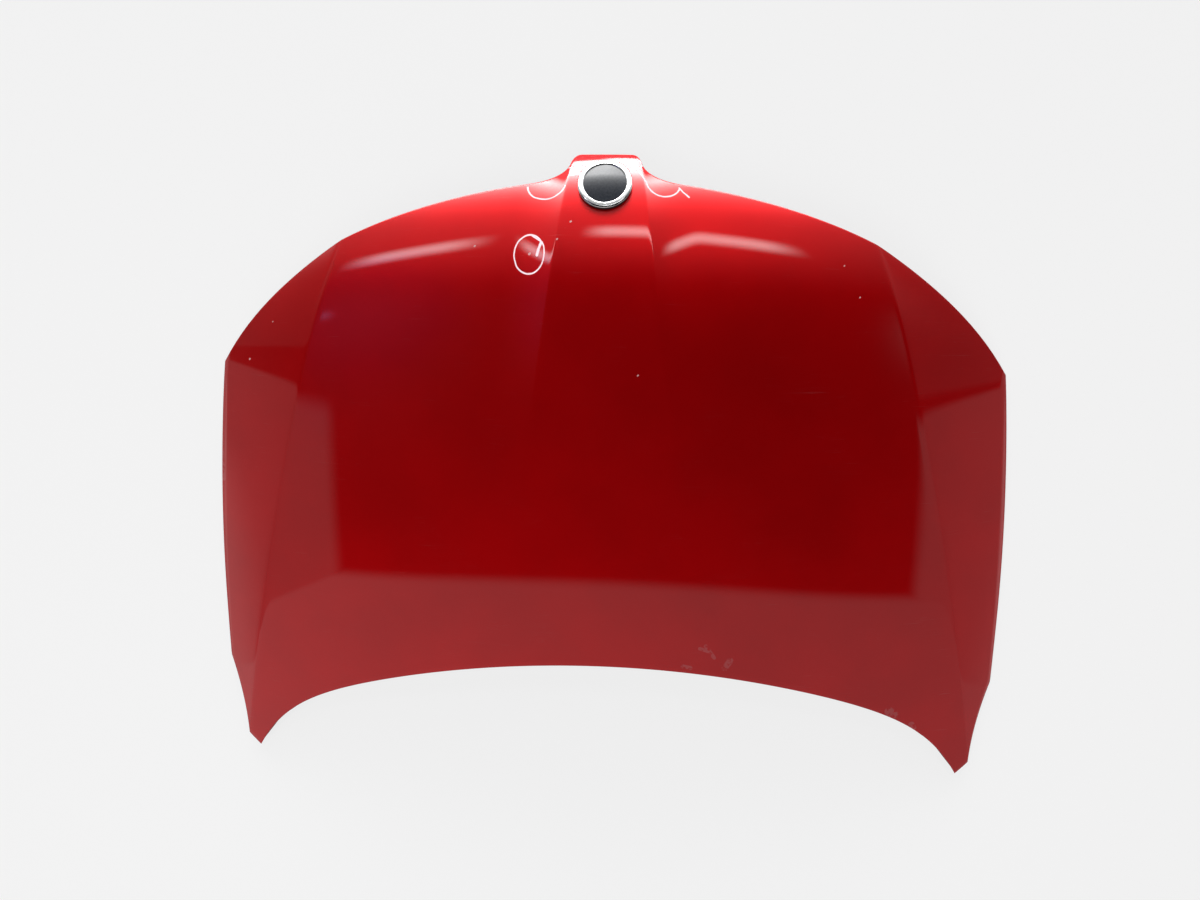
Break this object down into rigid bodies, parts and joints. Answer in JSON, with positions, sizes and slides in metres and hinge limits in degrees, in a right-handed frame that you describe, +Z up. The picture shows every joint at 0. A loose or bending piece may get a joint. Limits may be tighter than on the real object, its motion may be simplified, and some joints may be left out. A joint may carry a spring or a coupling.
{
  "type": "car bonnet",
  "caption": "Pressed-steel car bonnet with a folded-over inner panel, a raised centre, falling sides and a round badge on its nose, lying outer face up.",
  "frame": {"origin": "the middle of the bounding box's underside, on the floor the bonnet lies on", "axes": "+Y towards the nose, +X to the right of someone looking forward over the bonnet, +Z up out of its outer face"},
  "size_m": [1.452, 1.1172, 0.1596],
  "materials": {
    "outer_paint": "deep red clear-coated car paint, scuffed and dusty",
    "inner_paint": "thin red overspray on primer, satin",
    "primed_steel": "dark grey dip primer",
    "zinc_steel": "dull zinc plating",
    "rubber": "matt black rubber",
    "black_plastic": "black moulded plastic",
    "chrome": "bright chrome",
    "badge_face": "bare glossy near-black dome",
    "sealant": "pale expanded sealant"
  },
  "bodies": {
    "root": {"outer_skin": "outer_paint", "inner_panel": "inner_paint", "badge_base": "black_plastic", "badge_clip_left": "zinc_steel", "badge_clip_right": "zinc_steel", "badge_face": "badge_face", "badge_ring": "chrome", "front_buffer_left": "rubber", "front_buffer_right": "rubber", "hinge_nut_left_front": "zinc_steel", "hinge_nut_left_rear": "zinc_steel", "hinge_nut_right_front": "zinc_steel", "hinge_nut_right_rear": "zinc_steel", "hinge_reinforcement_left": "primed_steel", "hinge_reinforcement_right": "primed_steel", "sealant_bead_1": "sealant", "sealant_bead_10": "sealant", "sealant_bead_11": "sealant", "sealant_bead_12": "sealant", "sealant_bead_13": "sealant", "sealant_bead_14": "sealant", "sealant_bead_15": "sealant", "sealant_bead_16": "sealant", "sealant_bead_17": "sealant", "sealant_bead_18": "sealant", "sealant_bead_19": "sealant", "sealant_bead_2": "sealant", "sealant_bead_20": "sealant", "sealant_bead_21": "sealant", "sealant_bead_3": "sealant", "sealant_bead_4": "sealant", "sealant_bead_5": "sealant", "sealant_bead_6": "sealant", "sealant_bead_7": "sealant", "sealant_bead_8": "sealant", "sealant_bead_9": "sealant", "side_buffer_left": "rubber", "side_buffer_right": "rubber", "stay_grommet": "black_plastic", "striker_bolt_left": "zinc_steel", "striker_bolt_right": "zinc_steel", "striker_loop": "zinc_steel", "striker_nut_left": "zinc_steel", "striker_nut_right": "zinc_steel", "striker_plate": "zinc_steel", "striker_reinforcement": "primed_steel"}
  },
  "joints": []
}
